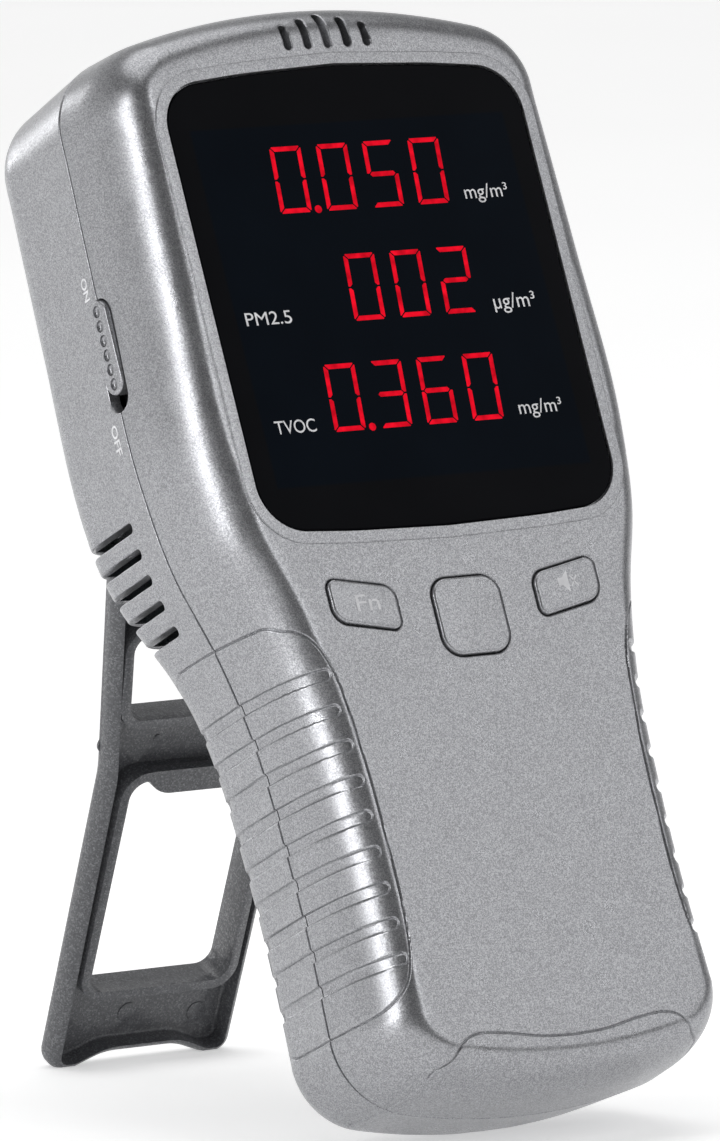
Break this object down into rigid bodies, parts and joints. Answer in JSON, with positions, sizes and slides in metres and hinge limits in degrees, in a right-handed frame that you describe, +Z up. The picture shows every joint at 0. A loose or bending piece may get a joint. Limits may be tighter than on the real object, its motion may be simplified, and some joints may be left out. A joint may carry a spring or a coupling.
{
  "type": "air quality monitor",
  "caption": "Handheld air quality monitor with a display head, a ribbed hand grip, keys, a side power slider, side air slots and a folding stand on its back.",
  "frame": {"origin": "centre of the bounding box on the plane that the monitor stands on, with its stand open", "axes": "+Z up, -Y towards the user who reads the display, +X to that user's right; the casing leans back 22.8 degrees onto its stand"},
  "size_m": [0.096, 0.1452, 0.1945],
  "materials": {
    "casing_silver": "silver-grey metallic-flake paint on moulded plastic, satin",
    "window_black": "polished smoked acrylic, nearly black",
    "led_red": "lit red seven-segment digits in a dark module",
    "white_plastic": "plain white, also the printed marks",
    "dark_plastic": "fine moulded texture",
    "stand_grey": "dark grey, fine sparkling spark-eroded texture",
    "steel": "plated",
    "board_green": "solder mask",
    "sensor_blue": "grey-blue moulding",
    "cell_wrap": "shrink sleeve"
  },
  "bodies": {
    "casing": {"front_shell": "casing_silver", "rear_shell": "casing_silver", "display_window": "window_black", "led_display": "led_red", "slide_switch": "dark_plastic", "left_key_switch": "dark_plastic", "middle_key_switch": "dark_plastic", "right_key_switch": "dark_plastic", "main_board": "board_green", "particle_sensor": "sensor_blue", "formaldehyde_sensor": "white_plastic", "voc_sensor": "steel", "buzzer": "dark_plastic", "battery_cell_left": "cell_wrap", "battery_cell_right": "cell_wrap", "battery_cradle": "dark_plastic", "usb_socket": "steel", "stand_pin": "steel", "case_screw_1": "steel", "case_screw_2": "steel", "case_screw_3": "steel", "case_screw_4": "steel", "case_screw_5": "steel", "case_screw_6": "steel", "board_screw_1": "steel", "board_screw_2": "steel", "board_screw_3": "steel", "board_screw_4": "steel"},
    "stand": {"stand": "stand_grey"},
    "left_key": {"left_key": "casing_silver"},
    "middle_key": {"middle_key": "casing_silver"},
    "right_key": {"right_key": "casing_silver"},
    "slider": {"power_slider": "casing_silver"},
    "fan": {"fan_rotor": "dark_plastic"}
  },
  "joints": [
    {"name": "stand_hinge", "type": "hinge", "parent": "casing", "child": "stand", "pos_m": [0, 0.02339, 0.11312], "axis": [1, 0, 0], "range_deg": [-45, 0]},
    {"name": "left_key_press", "type": "slide", "parent": "casing", "child": "left_key", "axis": [0, 0.9219, -0.3875], "range_m": [0, 0.0008], "stiffness_N_per_m": 400},
    {"name": "middle_key_press", "type": "slide", "parent": "casing", "child": "middle_key", "axis": [0, 0.9219, -0.3875], "range_m": [0, 0.0008], "stiffness_N_per_m": 400},
    {"name": "right_key_press", "type": "slide", "parent": "casing", "child": "right_key", "axis": [0, 0.9219, -0.3875], "range_m": [0, 0.0008], "stiffness_N_per_m": 400},
    {"name": "power_slide", "type": "slide", "parent": "casing", "child": "slider", "axis": [0, -0.3875, -0.9219], "range_m": [0, 0.0031]},
    {"name": "fan_spin", "type": "hinge", "parent": "casing", "child": "fan", "pos_m": [0.011, 0.00696, 0.12512], "axis": [0, 0.9219, -0.3875], "continuous": true}
  ]
}
